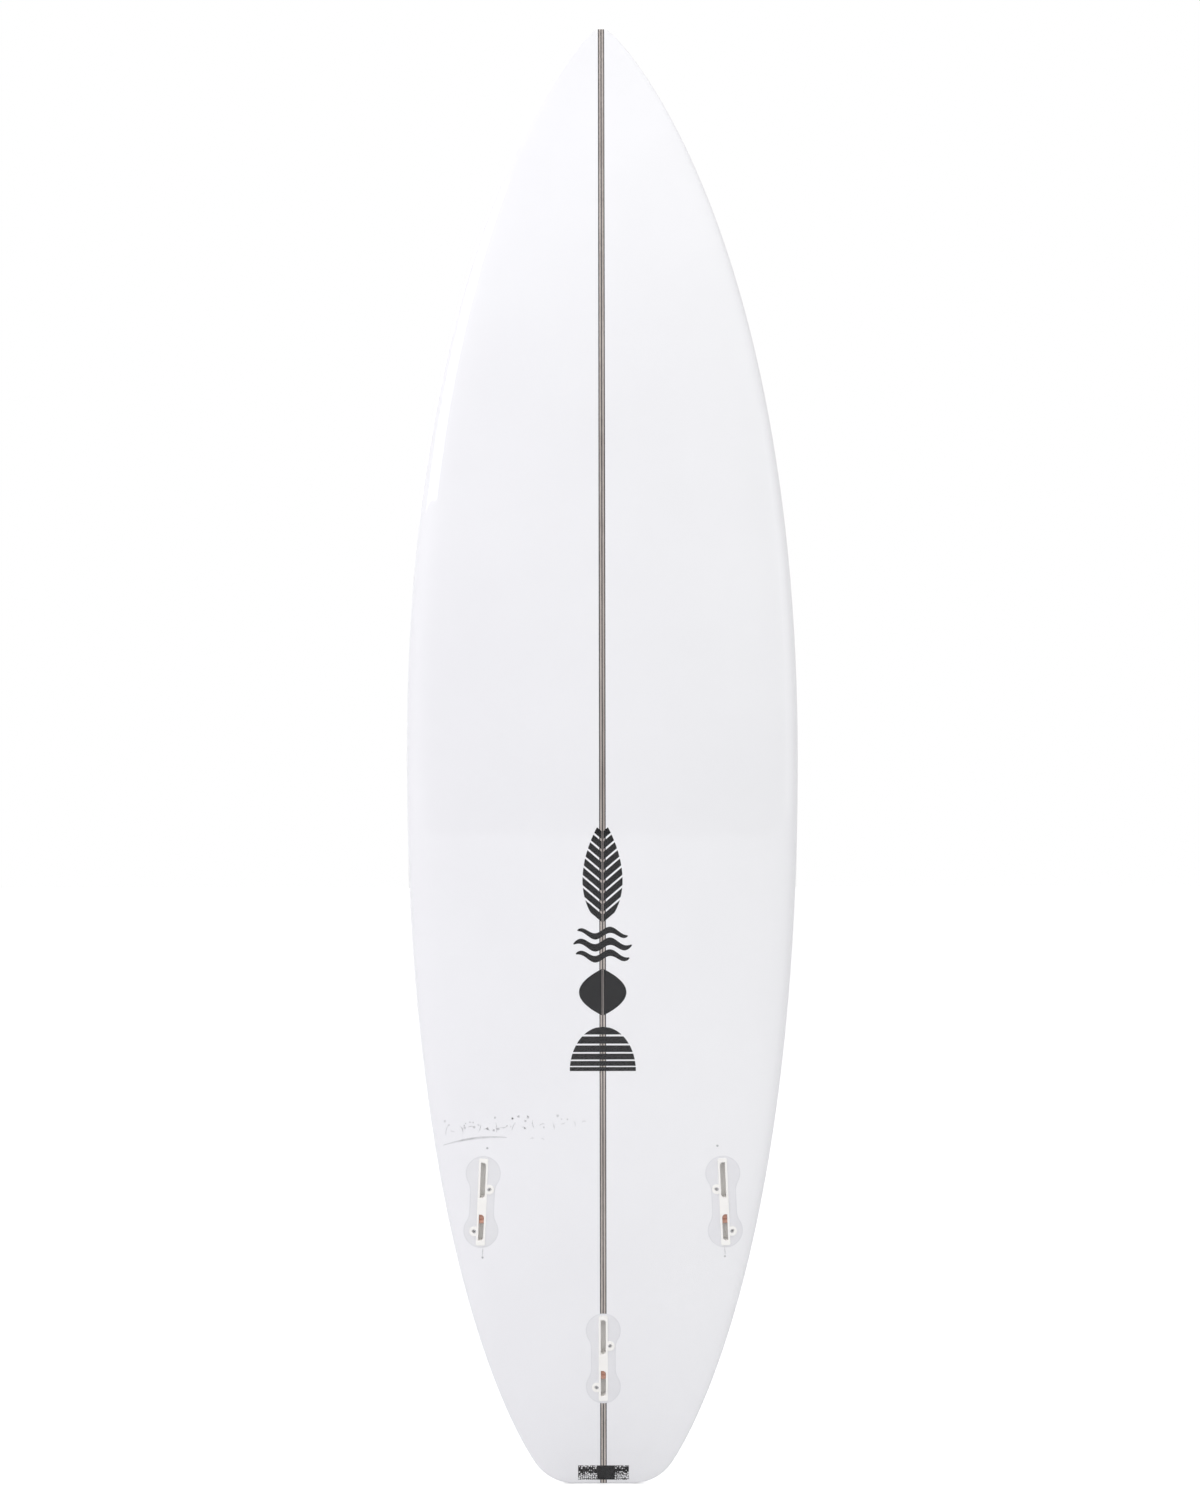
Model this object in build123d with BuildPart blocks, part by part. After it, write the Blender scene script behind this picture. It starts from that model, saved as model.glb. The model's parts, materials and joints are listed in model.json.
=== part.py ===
from build123d import *
import os
from math import acos, cos, degrees, radians, sin

# A shortboard surfboard with three fin plugs. It stands on its tail: +Z runs up to the nose,
# the bottom faces -Y, the deck faces +Y, and the origin is the middle of the flat tail end.
# All sizes are in millimetres.

# Board shape
length = 1829.0
half_width = 241.5
wide_point = 907.0  # height of the widest place above the tail
thickness = 62.0  # at the middle of the stringer
nose_thickness = 8.0
tail_thickness = 13.0
nose_rocker = 130.0
tail_rocker = 58.0
tail_flat = 37.0  # half of the straight part of the tail end
tail_corner_radius = 58.0
tail_angle = 34.5  # the outline's lean where the corner ends, in degrees
tail_pull = 38.0  # length of the outline's handle above the tail corner
tail_fullness = 0.684  # handle below the wide point, as a share of the way to the tail
nose_fullness = 0.705  # handle above the wide point, as a share of the way to the nose
nose_shoulder = (26.4, 7.0)  # handle behind the tip: out from the middle, down from the tip
nose_tip = 5.5  # half-width of the blunt tip

# Section shape: [at the middle, at the ends]
apex_share = (0.38, 0.27)  # height of the rail's apex over the bottom, as a share of the thickness
bottom_run = (0.85, 0.95)  # how far the flat of the bottom runs towards the rail
bottom_tuck = (1.30, 1.50)  # how squarely the bottom turns up into the rail
hollow = 2.0  # depth of the bottom's concave at the middle
rail_fullness = 0.62
deck_dome = 0.60

# Skin and stringer
glass = 1.0  # thickness of the glass and resin skin
lap = 38.0  # how far the deck glass laps round onto the bottom
paper = 0.15  # thickness of the printed tissues under the glass
glue_width = 1.2
ply_width = 2.2
strips = {
    "glue_line_left": glue_width,
    "stringer_ply_left": ply_width,
    "glue_line_centre": glue_width,
    "stringer_ply_right": ply_width,
    "glue_line_right": glue_width,
}
stringer = sum(strips.values())

# Fin plugs, in the plug's own frame: X across, Y forwards, Z out of the board
side_plug_gap = 47.2  # from the rail's edge to the middle of a side plug, at its height
side_plug_z = 357.0
centre_plug_z = 160.3
toe_angle = 2.6
plug_sink = 0.15  # depth of the frame's face below the glass at its middle
lobe_radius = 20.5
lobe_reach = 35.7  # from the plug's middle to the middle of a lobe
waist_width = 28.4
waist_blend = 24.0
flange_depth = 16.5
resin_gap = 1.0
frame_length = 108.0
frame_wall = 2.5  # beside the slots
frame_depth = 15.0
frame_corner = 2.2
slot_width = 6.2
frame_width = slot_width + 2 * frame_wall
slot_mouth = 0.35  # bevel round each slot's mouth
slot_depth = 13.0
slot_corner = 2.4
front_slot = (5.2, 49.0)
rear_slot = (-48.2, -15.7)
boss_radius = 6.0
boss_offset = frame_width / 2 + 2.5
boss_depth = 11.5
front_boss_y = 16.1
rear_boss_y = -36.8

# Grub screws
screw_radius = 2.4
screw_clearance = 0.06
screw_length = 5.4
screw_recess = 0.9
screw_lean = 30.0  # lean towards the slot, in degrees
screw_offset = slot_width / 2 + 5.5  # from the middle of the slot to the hole's mouth
screw_bore_depth = 11.0
screw_edge = 0.3
hex_across = 2.4
hex_depth = 2.6

# Fin catch in the rear slot
roller_radius = 3.0
roller_clearance = 0.2
roller_depth = 8.0
catch_height = 6.0
catch_pocket = 2.6  # how far the cushion's pocket goes into the bridge
cushion_length = 9.0
cushion_gap = 0.1

# Leash plug
leash_x = 22.0
leash_z = 75.0
leash_radius = 14.0
leash_depth = 13.5
leash_cavity_radius = 10.5
leash_cavity_depth = 11.0
leash_pin_radius = 2.0
leash_pin_depth = 4.5
leash_pin_bite = 1.6  # how far each end of the pin is held in the cup's wall
leash_pin_length = 2 * (leash_cavity_radius + leash_pin_bite)

# Prints under the glass
emblem_size = (74.0, 234.0)
emblem_z = 702.0
emblem_corner = 30.0
badge_size = (84.0, 56.0)
badge_z = 519.0  # level of its flat foot
label_size = (63.0, 18.4)
label_z = 14.8

corner_steps = 4  # stations along each stretch of the outline
tail_steps = 11
nose_steps = 12
tip_steps = (0.96, 0.985, 1)
reach = 400.0  # longer than any way through the board
proud = 6.0  # how far cutting prisms stand out of the surface

os.makedirs("parts", exist_ok=True)


def keep(part, label):
    part.label = label
    export_step(part, f"parts/{label}.step")
    print(label, round(part.volume, 1))


# ---- shape of the board ----

with BuildLine() as plan:
    corner = CenterArc(
        (tail_flat, tail_corner_radius), tail_corner_radius, -90, 90 - tail_angle
    )
    lean = Vector(sin(radians(tail_angle)), cos(radians(tail_angle)))
    tail_side = Bezier(
        corner @ 1,
        (corner @ 1) + lean * tail_pull,
        (half_width, wide_point * (1 - tail_fullness)),
        (half_width, wide_point),
    )
    nose_side = Bezier(
        (half_width, wide_point),
        (half_width, wide_point + (length - wide_point) * nose_fullness),
        (nose_shoulder[0], length - nose_shoulder[1]),
        (nose_tip, length),
    )


def rail_stations(inset):
    """Half-width and height of the outline's stations, moved inwards by the inset."""
    spots = []
    for curve, steps in ((corner, corner_steps), (tail_side, tail_steps), (nose_side, nose_steps)):
        spots += [(curve, step / steps) for step in range(steps)]
    spots += [(nose_side, share) for share in tip_steps]
    stations = []
    for curve, share in spots:
        spot, along = curve @ share, curve % share
        stations.append((spot.X - inset * along.Y, spot.Y + inset * along.X))
    return stations


def half_at(z):
    """The board's half-width at a height, between two stations."""
    spots = rail_stations(0)
    for (near, low), (far, high) in zip(spots, spots[1:]):
        if low <= z <= high:
            return near + (far - near) * (z - low) / (high - low)


def from_middle(z):
    """Distance from mid-length as a share of half the length, and whether it is the nose half."""
    return abs(z - length / 2) / (length / 2), z > length / 2


def bottom_at(z):
    share, is_nose = from_middle(z)
    if is_nose:
        rise = nose_rocker * (0.75 * share**2 + 0.25 * share**4)
    else:
        rise = tail_rocker * (0.8 * share**2 + 0.2 * share**4)
    return rise - tail_rocker - tail_thickness / 2


def thickness_at(z):
    share, is_nose = from_middle(z)
    end = nose_thickness if is_nose else tail_thickness
    return end + (thickness - end) * (1 - share**2)


def blend(pair, z):
    share = from_middle(z)[0]
    return pair[0] + (pair[1] - pair[0]) * share**2


def section_levels(z, skin):
    """The bottom's level at the stringer, the rail's apex and the deck's level at a height."""
    bottom, deck = bottom_at(z), bottom_at(z) + thickness_at(z)
    apex = bottom + blend(apex_share, z) * (deck - bottom)
    middle = bottom + skin + hollow * (1 - from_middle(z)[0] ** 2)
    return middle, apex, deck - skin


def quarter_points(half, z, skin):
    """Handles of the bottom's and the deck's curve, from the stringer's side to the rail."""
    middle, apex, high = section_levels(z, skin)
    tuck = apex - blend(bottom_tuck, z) * (apex - bottom_at(z) - skin)
    inner = stringer / 2
    run = inner + blend(bottom_run, z) * (half - inner)
    dome = inner + deck_dome * (half - inner)
    crown = apex + rail_fullness * (high - apex)
    under = [(inner, middle), (run, middle), (half, tuck), (half, apex)]
    over = [(half, apex), (half, crown), (dome, high), (inner, high)]
    return under, over


def section(half, z, skin):
    """The board's whole outline at a height: flat over the stringer, curved to each rail."""
    under, over = quarter_points(half, z, skin)
    with BuildSketch(Plane.XY.offset(z)) as profile:
        with BuildLine():
            Bezier(*under)
            Bezier(*over)
            Line(over[-1], (-over[-1][0], over[-1][1]))
            Bezier(*[(-x, y) for x, y in reversed(over)])
            Bezier(*[(-x, y) for x, y in reversed(under)])
            Line((-under[0][0], under[0][1]), under[0])
        make_face()
    return profile.sketch


def side_section(half, z, skin, side):
    """The part of the section on one side of the stringer."""
    under, over = quarter_points(half, z, skin)
    with BuildSketch(Plane.XY.offset(z)) as profile:
        with BuildLine():
            Bezier(*[(side * x, y) for x, y in under])
            Bezier(*[(side * x, y) for x, y in over])
            Line((side * over[-1][0], over[-1][1]), (side * under[0][0], under[0][1]))
        make_face()
    return profile.sketch


def strip_section(z, low, high):
    """A strip of the stringer between two distances from the middle."""
    middle, _, top = section_levels(z, glass)
    with BuildSketch(Plane.XY.offset(z)) as profile:
        with Locations(((low + high) / 2, (middle + top) / 2)):
            Rectangle(high - low, top - middle)
    return profile.sketch


def board_blank(skin):
    """The board's solid, its whole surface moved inwards by the skin."""
    sections = [section(half, z, skin) for half, z in rail_stations(skin)]
    with BuildPart() as blank:
        loft(sections, ruled=True)
    return blank.part


outside = board_blank(0)
foam_blank = board_blank(glass)
print_blank = board_blank(glass - paper)


def surface_plane(x, z, toe, deck=False):
    """The plane that touches the bottom or deck at a place, Z outwards and Y forwards."""
    ray = Axis((x, -reach, z), (0, 1, 0))
    hits = [hit for face in outside.faces() for hit in face.find_intersection_points(ray)]
    hits.sort(key=lambda hit: hit[0].Y)
    spot, normal = hits[-1] if deck else hits[0]
    if normal.Y * (1 if deck else -1) < 0:
        normal = normal * -1
    forward = Vector(sin(radians(toe)), 0, cos(radians(toe)))
    forward = (forward - normal * forward.dot(normal)).normalized()
    return Plane(origin=spot - normal * plug_sink, x_dir=forward.cross(normal), z_dir=normal)


side_plug_x = half_at(side_plug_z) - side_plug_gap
plugs = {
    "left": (surface_plane(-side_plug_x, side_plug_z, toe_angle), 1),
    "right": (surface_plane(side_plug_x, side_plug_z, -toe_angle), -1),
    "centre": (surface_plane(0, centre_plug_z, 0), 1),
}  # plane, and the side of the slot that the front screw is on
leash_plane = surface_plane(leash_x, leash_z, 0, deck=True)


# ---- shapes that pieces of a plug share ----


def lobe_prism(plane, grow, depth):
    """A figure of eight: the shape of a plug's flange, or of the hole routed for it."""
    lobe, neck = lobe_radius + grow, waist_blend - grow
    waist = waist_width / 2 + grow
    between = lobe + neck  # from a lobe's middle to the middle of the neck's curve
    turn = degrees(acos((waist + neck) / between))
    neck_y = lobe_reach - between * sin(radians(turn))
    with BuildPart() as prism:
        with BuildSketch(plane.offset(proud)):
            with BuildLine():
                CenterArc((0, lobe_reach), lobe, 90, -90 - turn)
                CenterArc((waist + neck, neck_y), neck, 180 - turn, turn)
                Line((waist, neck_y), (waist, 0))
                mirror(about=Plane.XZ)
                mirror(about=Plane.YZ)
            make_face()
        extrude(amount=-(depth + proud))
    return prism.part


def frame_prism(plane, side, top):
    """The outline of a plug's frame and bosses, from a height above its face to its floor."""
    with BuildPart() as prism:
        with BuildSketch(plane.offset(top)):
            RectangleRounded(frame_width, frame_length, frame_corner)
        extrude(amount=-(frame_depth + top))
        with BuildSketch(plane.offset(top)):
            with Locations((side * boss_offset, front_boss_y), (-side * boss_offset, rear_boss_y)):
                Circle(boss_radius)
        extrude(amount=-(boss_depth + top))
    return prism.part


def screw_plane(plane, side, y):
    """At the mouth of a screw hole, Z pointing out of it along its lean."""
    lean_across = side * sin(radians(screw_lean))
    outwards = plane.x_dir * lean_across + plane.z_dir * cos(radians(screw_lean))
    mouth = plane.from_local_coords(Vector(side * screw_offset, y, 0))
    return Plane(origin=mouth, x_dir=plane.y_dir, z_dir=outwards)


def screw_spots(plane, side):
    return {
        "front": screw_plane(plane, side, front_boss_y),
        "rear": screw_plane(plane, -side, rear_boss_y),
    }


# ---- foam, stringer and glass ----


def leash_bore():
    with BuildPart() as bore:
        with BuildSketch(leash_plane.offset(proud)):
            Circle(leash_radius + resin_gap)
        extrude(amount=-(proud + leash_depth + resin_gap))
    return bore.part


def make_core():
    """The foam halves and the stringer's strips, with the holes routed for the plugs."""
    holes = [
        lobe_prism(plane, resin_gap, flange_depth + resin_gap) for plane, _ in plugs.values()
    ]
    holes.append(leash_bore())
    stations = rail_stations(glass)
    blanks = {}
    for side, name in ((-1, "foam_left"), (1, "foam_right")):
        blanks[name] = [side_section(half, z, glass, side) for half, z in stations]
    edge = -stringer / 2
    for name, width in strips.items():
        blanks[name] = [strip_section(z, edge, edge + width) for _, z in stations]
        edge += width
    for name, sections in blanks.items():
        with BuildPart() as strip:
            loft(sections, ruled=True)
            for hole in holes:
                add(hole, mode=Mode.SUBTRACT)
        keep(strip.part, name)


def draw_emblem():
    """The tall print's tissue, with round ends."""
    width, height = emblem_size
    with BuildSketch(Plane.XZ) as outline:
        with Locations((0, emblem_z)):
            RectangleRounded(width, height, emblem_corner)
    return outline.sketch


def draw_badge():
    """The wide print's tissue: the upper half of an oval."""
    width, height = badge_size
    with BuildSketch(Plane.XZ) as outline:
        with Locations((0, badge_z)):
            Ellipse(width / 2, height)
        with Locations((0, badge_z - height)):
            Rectangle(width, 2 * height, mode=Mode.SUBTRACT)
    return outline.sketch


def draw_label():
    """The small print's tissue beside the tail end."""
    width, height = label_size
    with BuildSketch(Plane.XZ) as outline:
        with Locations((0, label_z)):
            Rectangle(width, height)
    return outline.sketch


def make_tissue(outline, z, label):
    """A print's thin tissue on the bottom's foam, cut to its outline."""
    inside = bottom_at(z) + thickness_at(z) / 2
    with BuildPart() as tissue:
        extrude(outline.moved(Location((0, inside, 0))), amount=reach, dir=(0, -1, 0))
        add(print_blank, mode=Mode.INTERSECT)
        add(foam_blank, mode=Mode.SUBTRACT)
    keep(tissue.part, label)
    return tissue.part


def make_glass(prints):
    """The skin: the deck's glass laps round the rails, and the bottom's glass lies inside it."""
    with BuildPart() as skin:
        add(outside)
        add(foam_blank, mode=Mode.SUBTRACT)
        for tissue in prints:
            add(tissue, mode=Mode.SUBTRACT)
        for plane, side in plugs.values():
            add(frame_prism(plane, side, proud), mode=Mode.SUBTRACT)
        with BuildSketch(leash_plane.offset(proud)):
            Circle(leash_radius)
        extrude(amount=-(proud + leash_depth), mode=Mode.SUBTRACT)
    inner = [(half, z) for half, z in rail_stations(lap) if half > lap / 4 and z < length - lap]
    cuts = []
    for half, z in inner:
        low, high = bottom_at(z) - proud, bottom_at(z) + thickness_at(z) / 2
        with BuildSketch(Plane.XY.offset(z)) as cut:
            with Locations((0, (low + high) / 2)):
                Rectangle(2 * half, high - low)
        cuts.append(cut.sketch)
    with BuildPart() as bottom_region:
        loft(cuts, ruled=True)
    with BuildPart() as bottom_glass:
        add(skin.part)
        add(bottom_region.part, mode=Mode.INTERSECT)
    with BuildPart() as deck_glass:
        add(skin.part)
        add(bottom_region.part, mode=Mode.SUBTRACT)
    keep(bottom_glass.part, "bottom_laminate")
    keep(deck_glass.part, "deck_laminate")


# ---- fin plugs ----


def make_flange(plane, side, where):
    """The dense flange, and the resin that beds it in the routed hole."""
    with BuildPart() as flange:
        add(lobe_prism(plane, 0, flange_depth))
        add(foam_blank, mode=Mode.INTERSECT)
        add(frame_prism(plane, side, proud), mode=Mode.SUBTRACT)
    keep(flange.part, f"plug_flange_{where}")
    with BuildPart() as bed:
        add(lobe_prism(plane, resin_gap, flange_depth + resin_gap))
        add(foam_blank, mode=Mode.INTERSECT)
        add(lobe_prism(plane, 0, flange_depth), mode=Mode.SUBTRACT)
    keep(bed.part, f"resin_bed_{where}")


def make_frame(plane, side, where):
    """The moulded frame: two slots, two slanted screw holes and the catch's pocket."""
    with BuildPart() as frame:
        add(frame_prism(plane, side, 0))
        for ends in (front_slot, rear_slot):
            near, far = ends
            edge = slot_width / 2 * side
            cut_back = edge - slot_corner * side
            with BuildSketch(plane):
                with BuildLine():
                    Polyline(
                        (-edge, near),
                        (cut_back, near),
                        (edge, near + slot_corner),
                        (edge, far - slot_corner),
                        (cut_back, far),
                        (-edge, far),
                        close=True,
                    )
                make_face()
            extrude(amount=-slot_depth, mode=Mode.SUBTRACT)
            with BuildSketch(plane):
                with Locations((0, (near + far) / 2)):
                    Rectangle(slot_width + 2 * slot_mouth, far - near + 2 * slot_mouth)
            extrude(amount=-slot_mouth, taper=45, mode=Mode.SUBTRACT)
        with BuildSketch(plane.offset(-roller_depth - catch_height / 2)):
            with Locations((0, rear_slot[1])):
                Rectangle(slot_width, 2 * catch_pocket)
        extrude(amount=catch_height, mode=Mode.SUBTRACT)
        for spot in screw_spots(plane, side).values():
            with BuildSketch(spot.offset(proud)):
                Circle(screw_radius + screw_clearance)
            extrude(amount=-(proud + screw_bore_depth), mode=Mode.SUBTRACT)
    keep(frame.part, f"plug_frame_{where}")


def make_screws(plane, side, where):
    """Grub screws, backed off so that their tips are clear of the slot."""
    for end, spot in screw_spots(plane, side).items():
        with BuildPart() as screw:
            with BuildSketch(spot.offset(-screw_recess)):
                Circle(screw_radius)
            extrude(amount=-screw_length)
            chamfer(screw.edges(), screw_edge)
            with BuildSketch(spot.offset(-screw_recess)):
                RegularPolygon(hex_across / 2, 6, major_radius=False)
            extrude(amount=-hex_depth, mode=Mode.SUBTRACT)
        keep(screw.part, f"{end}_screw_{where}")


def make_catch(plane, where):
    """The roller that grips a fin's rear tab, and the soft cushion that it is pushed into."""
    pocket_end = rear_slot[1] + catch_pocket
    width = slot_width - 2 * roller_clearance
    height = catch_height - 2 * roller_clearance
    roller_y = pocket_end - cushion_length - cushion_gap - roller_radius
    axis = Plane(
        origin=plane.from_local_coords(Vector(-width / 2, roller_y, -roller_depth)),
        x_dir=plane.y_dir,
        z_dir=plane.x_dir,
    )
    with BuildPart() as roller:
        with BuildSketch(axis):
            Circle(roller_radius)
        extrude(amount=width)
    keep(roller.part, f"catch_roller_{where}")
    with BuildPart() as cushion:
        with BuildSketch(plane.offset(-roller_depth - height / 2)):
            with Locations((0, pocket_end - cushion_length / 2)):
                Rectangle(width, cushion_length)
        extrude(amount=height)
    keep(cushion.part, f"catch_cushion_{where}")


# ---- leash plug ----


def make_leash_plug():
    with BuildPart() as cup:
        with BuildSketch(leash_plane):
            Circle(leash_radius)
        extrude(amount=-leash_depth)
        with BuildSketch(leash_plane):
            Circle(leash_cavity_radius)
        extrude(amount=-leash_cavity_depth, mode=Mode.SUBTRACT)
        with BuildSketch(leash_pin_plane()):
            Circle(leash_pin_radius)
        extrude(amount=leash_pin_length, mode=Mode.SUBTRACT)
    keep(cup.part, "leash_cup")
    with BuildPart() as pin:
        with BuildSketch(leash_pin_plane()):
            Circle(leash_pin_radius)
        extrude(amount=leash_pin_length)
    keep(pin.part, "leash_pin")
    with BuildPart() as bed:
        add(leash_bore())
        add(foam_blank, mode=Mode.INTERSECT)
        with BuildSketch(leash_plane.offset(proud)):
            Circle(leash_radius)
        extrude(amount=-(proud + leash_depth), mode=Mode.SUBTRACT)
    keep(bed.part, "resin_bed_leash")


def leash_pin_plane():
    """At one end of the leash pin, Z along the pin."""
    start = leash_plane.from_local_coords(Vector(-leash_pin_length / 2, 0, -leash_pin_depth))
    return Plane(origin=start, x_dir=leash_plane.y_dir, z_dir=leash_plane.x_dir)


make_core()
prints = [
    make_tissue(draw_emblem(), emblem_z, "emblem_print"),
    make_tissue(draw_badge(), badge_z, "badge_print"),
    make_tissue(draw_label(), label_z, "label_print"),
]
make_glass(prints)
for where, (plane, side) in plugs.items():
    make_flange(plane, side, where)
    make_frame(plane, side, where)
    make_screws(plane, side, where)
    make_catch(plane, where)
make_leash_plug()
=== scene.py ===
import json
from math import acos, cos, degrees, pi, radians, sin

import bpy
import numpy as np
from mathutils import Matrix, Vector


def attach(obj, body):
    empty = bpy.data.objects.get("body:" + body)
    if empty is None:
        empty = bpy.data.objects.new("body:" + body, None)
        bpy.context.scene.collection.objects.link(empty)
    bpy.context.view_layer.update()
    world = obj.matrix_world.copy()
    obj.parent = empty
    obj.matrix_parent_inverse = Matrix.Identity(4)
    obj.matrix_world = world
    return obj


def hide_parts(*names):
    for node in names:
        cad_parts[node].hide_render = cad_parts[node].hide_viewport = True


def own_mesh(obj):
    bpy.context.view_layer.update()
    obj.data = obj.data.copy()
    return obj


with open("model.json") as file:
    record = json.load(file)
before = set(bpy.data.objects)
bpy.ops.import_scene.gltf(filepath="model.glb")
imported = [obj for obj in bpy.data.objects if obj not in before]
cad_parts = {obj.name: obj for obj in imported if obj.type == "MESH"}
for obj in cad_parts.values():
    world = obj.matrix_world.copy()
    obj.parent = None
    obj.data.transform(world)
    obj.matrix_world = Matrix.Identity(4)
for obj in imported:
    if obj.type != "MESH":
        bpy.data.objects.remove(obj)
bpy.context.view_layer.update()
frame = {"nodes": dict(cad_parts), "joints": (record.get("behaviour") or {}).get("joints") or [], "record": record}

# Shortboard, bottom towards -Y, standing on its tail. Metres.
board = {
    "length": 1.829,
    "halfWidth": 0.2415,
    "widePoint": 0.907,
    "thickness": 0.062,
    "noseThickness": 0.008,
    "tailThickness": 0.013,
    "noseRocker": 0.130,
    "tailRocker": 0.058,
    "tailFlat": 0.037,
    "cornerRadius": 0.058,
    "tailAngle": 34.5,
    "tailPull": 0.038,
    "tailFullness": 0.684,
    "noseFullness": 0.705,
    "noseShoulder": (0.0264, 0.007),
    "noseTip": 0.0055,
    "apexShare": (0.38, 0.27),
    "bottomRun": (0.85, 0.95),
    "bottomTuck": (1.30, 1.50),
    "hollow": 0.002,
    "railFullness": 0.62,
    "deckDome": 0.60,
    "stringer": 0.008,
    "foamInset": 0.001,  # the core stops this far under the surface
    "tailRound": 0.0025,  # rounding of the tail end's edges
    "noseRound": 0.003,
    "cornerRows": 18,
    "tailRows": 60,
    "noseRows": 100,
}
middleZ = board["length"] / 2


# cubic curve: each handle weighted by its Bernstein share
def bezier(handles, t):
    a, b, c, d = handles
    s = 1 - t
    return s**3 * a + 3 * s * s * t * b + 3 * s * t * t * c + t**3 * d


# slope of the same curve, for the tangent
def bezierSlope(handles, t):
    a, b, c, d = handles
    s = 1 - t
    return 3 * s * s * (b - a) + 6 * s * t * (c - b) + 3 * t * t * (d - c)


# outline from the tail's flat end to the nose: an arc, then two cubic curves, moved inwards
# along their own normals. Gives half-width and height of each station
def railStations(inset, fine=1):
    lean = radians(board["tailAngle"])
    centre = np.array([board["tailFlat"], board["cornerRadius"]])
    turn = np.linspace(0, pi / 2 - lean, board["cornerRows"] * fine + 1)
    ray = np.stack([np.sin(turn), -np.cos(turn)], 1)
    along = np.stack([np.cos(turn), np.sin(turn)], 1)
    arc = centre + board["cornerRadius"] * ray
    wide = np.array([board["halfWidth"], board["widePoint"]])
    tip = np.array([board["noseTip"], board["length"]])
    shoulder = np.array([board["noseShoulder"][0], board["length"] - board["noseShoulder"][1]])
    up = np.array([0, 1])
    tailSide = (
        arc[-1],
        arc[-1] + board["tailPull"] * np.array([sin(lean), cos(lean)]),
        wide - up * board["tailFullness"] * board["widePoint"],
        wide,
    )
    noseSide = (
        wide,
        wide + up * board["noseFullness"] * (board["length"] - board["widePoint"]),
        shoulder,
        tip,
    )
    low = np.linspace(0, 1, board["tailRows"] * fine + 1)[1:, None]
    high = 1 - (1 - np.linspace(0, 1, board["noseRows"] * fine + 1)[1:, None]) ** 1.5
    spots = np.concatenate([arc, bezier(tailSide, low), bezier(noseSide, high)])
    slopes = np.concatenate([along, bezierSlope(tailSide, low), bezierSlope(noseSide, high)])
    slopes /= np.linalg.norm(slopes, axis=1)[:, None]
    half = spots[:, 0] - inset * slopes[:, 1]
    z = spots[:, 1] + inset * slopes[:, 0]
    return half, z


# half-width at any height, read off a fine copy of the outline
def halfAt(z, inset):
    half, level = railStations(inset, fine=6)
    return np.interp(z, level, half)


# levels of a section: rocker rises from mid-length with the 2nd and 4th power of the distance,
# thickness falls with its square
def levels(z, skin):
    share = np.abs(z - middleZ) / middleZ
    isNose = z > middleZ
    square = share**2
    rise = np.where(
        isNose,
        board["noseRocker"] * (0.75 * square + 0.25 * square**2),
        board["tailRocker"] * (0.8 * square + 0.2 * square**2),
    )
    end = np.where(isNose, board["noseThickness"], board["tailThickness"])
    bottom = rise - board["tailRocker"] - board["tailThickness"] / 2
    thick = end + (board["thickness"] - end) * (1 - square)
    ends = {name: board[name][0] + (board[name][1] - board[name][0]) * square
            for name in ("apexShare", "bottomRun", "bottomTuck")}
    apex = bottom + ends["apexShare"] * thick
    middle = bottom + skin + board["hollow"] * (1 - square)
    high = bottom + thick - skin
    tuck = apex - ends["bottomTuck"] * (apex - bottom - skin)
    return {"middle": middle, "apex": apex, "high": high, "tuck": tuck,
            "run": ends["bottomRun"], "centre": bottom + thick / 2, "thick": thick - 2 * skin}


# bottom's level at a distance from the middle: the curve's parameter is found by halving,
# because its x only grows. Over the stringer it is flat
def bottomLevel(x, z, half, skin):
    at = levels(z, skin)
    inner = board["stringer"] / 2
    run = inner + at["run"] * (half - inner)
    across = (inner, run, half, half)
    low = np.zeros(np.broadcast(x, z).shape)
    high = np.ones_like(low)
    for _ in range(34):
        guess = (low + high) / 2
        short = bezier(across, guess) < x
        low = np.where(short, guess, low)
        high = np.where(short, high, guess)
    level = bezier((at["middle"], at["middle"], at["tuck"], at["apex"]), low)
    return np.where(x <= inner, at["middle"], level)


# the bottom's surface at any place, for prints and marks
def onBottom(x, z, skin):
    half = halfAt(z, skin)
    return bottomLevel(np.abs(x), z, half, skin)


# squeeze of a section near the tail and nose so that the end's edges are round:
# a quarter circle's height over the last few millimetres
def endSqueeze(z, skin):
    squeeze = {}
    for name, away in (("tail", z - skin), ("nose", board["length"] - skin - z)):
        radius = board[name + "Round"] - skin
        gap = np.clip(radius - away, 0, radius)
        squeeze[name] = radius - np.sqrt(radius**2 - gap**2)
    return squeeze["tail"], squeeze["nose"]


# section drawn in towards its middle by the end's squeeze
def rounded(x, y, z, skin, half):
    at = levels(z, skin)
    tail, nose = endSqueeze(z, skin)
    y = at["centre"] + (y - at["centre"]) * (1 - (tail + nose) / (at["thick"] / 2))
    x = x * (1 - nose / half)
    return np.stack(np.broadcast_arrays(x, y, z), -1)


# four-sided faces between a grid's points
def quads(grid):
    rows = grid[:-1, :-1], grid[:-1, 1:], grid[1:, 1:], grid[1:, :-1]
    return np.stack([part.ravel() for part in rows], 1)


# grid of point numbers, and the same with its first column repeated, so that it closes
def tube(rows, columns):
    grid = np.arange(rows * columns).reshape(rows, columns)
    return grid, np.concatenate([grid, grid[:, :1]], 1)


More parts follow.
